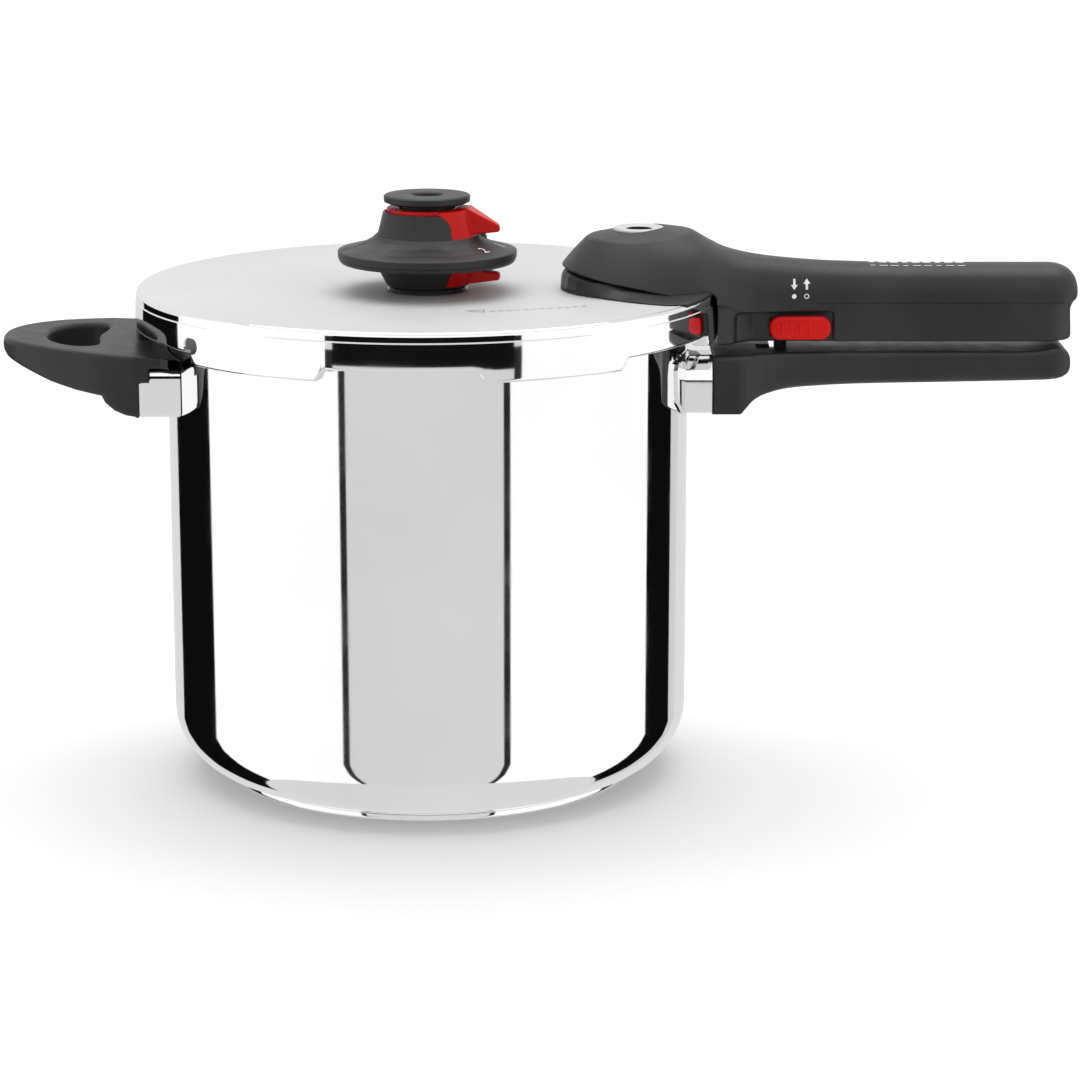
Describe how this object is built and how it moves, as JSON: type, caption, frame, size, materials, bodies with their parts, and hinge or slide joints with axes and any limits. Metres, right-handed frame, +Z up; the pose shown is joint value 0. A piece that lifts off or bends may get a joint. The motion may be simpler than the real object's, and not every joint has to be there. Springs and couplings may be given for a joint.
{
  "type": "stovetop pressure cooker",
  "caption": "Stovetop pressure cooker in polished steel with a bayonet lid, a long two-part handle with a red lock button, a helper handle and a dial valve",
  "frame": {"origin": "centre of the base's underside, on the pot's axis", "axes": "+Z up along the pot's axis, +X towards the two long handles, the viewer of the lock button at -Y"},
  "size_m": [0.4582, 0.249, 0.25],
  "materials": {
    "polished_steel": "mirror polish",
    "aluminium_core": "plain",
    "plain_steel": "satin",
    "black_plastic": "fine matte grain",
    "red_plastic": "gloss",
    "grey_silicone": "satin"
  },
  "bodies": {
    "pot": {"pot_body": "polished_steel", "base_core": "aluminium_core", "base_cap": "polished_steel", "main_bracket": "polished_steel", "main_ferrule": "polished_steel", "lower_handle": "black_plastic", "lower_handle_screw": "plain_steel", "helper_bracket": "polished_steel", "helper_ferrule": "polished_steel", "helper_handle": "black_plastic", "helper_handle_screws": "plain_steel"},
    "lid": {"lid_shell": "polished_steel", "lid_gasket": "grey_silicone", "nose_base": "black_plastic", "upper_handle": "black_plastic", "bottom_cover": "black_plastic", "bottom_cover_screws": "plain_steel", "lid_handle_screws": "plain_steel", "detent_spring": "plain_steel", "indicator_guide": "plain_steel", "indicator_ring": "polished_steel", "valve_base_ring": "black_plastic", "valve_pipe": "plain_steel", "valve_washer": "grey_silicone", "valve_nut": "plain_steel", "valve_lower_body": "black_plastic", "valve_upper_body": "black_plastic", "valve_pointer": "red_plastic", "valve_lower_pointer": "red_plastic", "valve_cap": "black_plastic"},
    "lock": {"lock_button": "red_plastic", "lock_bolt": "plain_steel"},
    "indicator": {"indicator_pin": "black_plastic", "indicator_seal": "grey_silicone"},
    "dial": {"valve_dial": "black_plastic"},
    "poppet": {"valve_poppet": "plain_steel", "valve_spring": "plain_steel"}
  },
  "joints": [
    {"name": "lid_turn", "type": "hinge", "parent": "pot", "child": "lid", "pos_m": [0, 0, 0.2], "axis": [0, 0, 1], "range_deg": [0, 30]},
    {"name": "lock_slide", "type": "slide", "parent": "lid", "child": "lock", "axis": [-1, 0, 0], "range_m": [0, 0.007]},
    {"name": "indicator_rise", "type": "slide", "parent": "lid", "child": "indicator", "axis": [0, 0, 1], "range_m": [0, 0.005]},
    {"name": "dial_turn", "type": "hinge", "parent": "lid", "child": "dial", "pos_m": [0, 0, 0.226], "axis": [0, 0, 1], "range_deg": [-62, 31]},
    {"name": "poppet_lift", "type": "slide", "parent": "lid", "child": "poppet", "axis": [0, 0, 1], "range_m": [0, 0.0015], "stiffness_N_per_m": 400, "springref_m": -0.003, "deforming": ["valve_spring"]}
  ]
}
